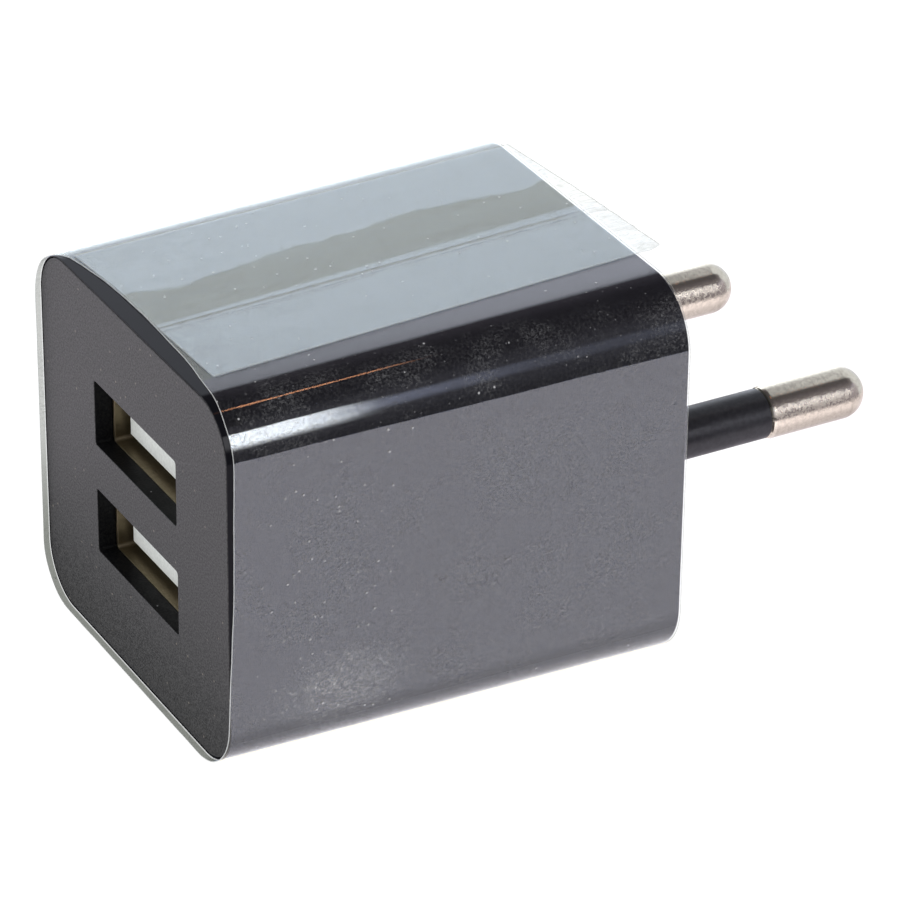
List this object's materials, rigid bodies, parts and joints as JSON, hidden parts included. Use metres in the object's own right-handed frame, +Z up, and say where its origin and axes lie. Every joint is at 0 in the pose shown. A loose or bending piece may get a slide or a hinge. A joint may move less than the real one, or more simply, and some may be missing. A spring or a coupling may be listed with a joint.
{
  "type": "usb wall charger",
  "caption": "Square-section black wall charger with stacked USB-A sockets in front, round mains pins behind and a clear film round the casing.",
  "frame": {"origin": "middle of the rear face, between the two mains pins, on the plane that meets the wall socket", "axes": "+Y along the pins towards the wall, +Z up, +X to the right of someone facing the sockets"},
  "size_m": [0.0318, 0.0556, 0.0307],
  "materials": {
    "gloss_black": "polished black moulding",
    "satin_grey": "fine textured charcoal moulding",
    "matte_black": "lightly textured black moulding",
    "clear_film": "thin clear protective film",
    "nickel": "nickel-plated brass, slightly warm",
    "sleeve_black": "smooth black insulating sleeve",
    "solder": "tinned",
    "port_steel": "plated spring steel, warm",
    "port_white": "white moulded insulator",
    "contact_gold": "gold-flashed copper alloy",
    "board_green": "solder mask on glass laminate",
    "chip_black": "moulded epoxy",
    "chip_ceramic": "chip parts",
    "sheet_paper": "insulating paper",
    "ferrite": "ground ferrite",
    "copper": "enamelled copper wire",
    "tape_yellow": "polyester tape",
    "can_aluminium": "drawn can",
    "can_sleeve_blue": "shrink sleeve",
    "can_sleeve_green": "shrink sleeve",
    "disc_blue": "dipped ceramic disc",
    "choke_green": "dipped choke",
    "resistor_green": "dipped resistor"
  },
  "bodies": {
    "charger": {"housing": "gloss_black", "front_panel": "satin_grey", "rear_plate": "matte_black", "protective_film": "clear_film", "left_pin": "nickel", "right_pin": "nickel", "left_pin_sleeve": "sleeve_black", "right_pin_sleeve": "sleeve_black", "pin_solder": "solder", "upper_port_shell": "port_steel", "lower_port_shell": "port_steel", "upper_port_insulator": "port_white", "lower_port_insulator": "port_white", "upper_port_tails": "contact_gold", "lower_port_tails": "contact_gold", "usb_board": "board_green", "charge_port_chip": "chip_black", "usb_board_parts": "chip_ceramic", "link_pins": "contact_gold", "link_spacer": "chip_black", "insulation_sheet": "sheet_paper", "main_board": "board_green", "transformer_core_left": "ferrite", "transformer_core_right": "ferrite", "transformer_bobbin": "chip_black", "transformer_winding": "copper", "transformer_tape": "tape_yellow", "transformer_pins": "solder", "mains_capacitors": "can_aluminium", "mains_capacitor_sleeves": "can_sleeve_blue", "output_capacitors": "can_aluminium", "output_capacitor_sleeves": "can_sleeve_green", "safety_capacitor": "disc_blue", "filter_choke": "choke_green", "fusible_resistor": "resistor_green", "bridge_rectifier": "chip_black", "power_switch_chip": "chip_black", "optocoupler": "port_white", "output_diode": "chip_black", "main_board_parts": "chip_ceramic"},
    "upper_contacts": {"upper_port_contacts": "contact_gold"},
    "lower_contacts": {"lower_port_contacts": "contact_gold"}
  },
  "joints": [
    {"name": "upper_contact_press", "type": "hinge", "parent": "charger", "child": "upper_contacts", "pos_m": [0.0003, -0.0228, 0.0044], "axis": [1, 0, 0], "range_deg": [0, 2.5], "stiffness_Nm_per_rad": 0.09},
    {"name": "lower_contact_press", "type": "hinge", "parent": "charger", "child": "lower_contacts", "pos_m": [0.0003, -0.0228, -0.0045], "axis": [1, 0, 0], "range_deg": [0, 2.5], "stiffness_Nm_per_rad": 0.09}
  ]
}
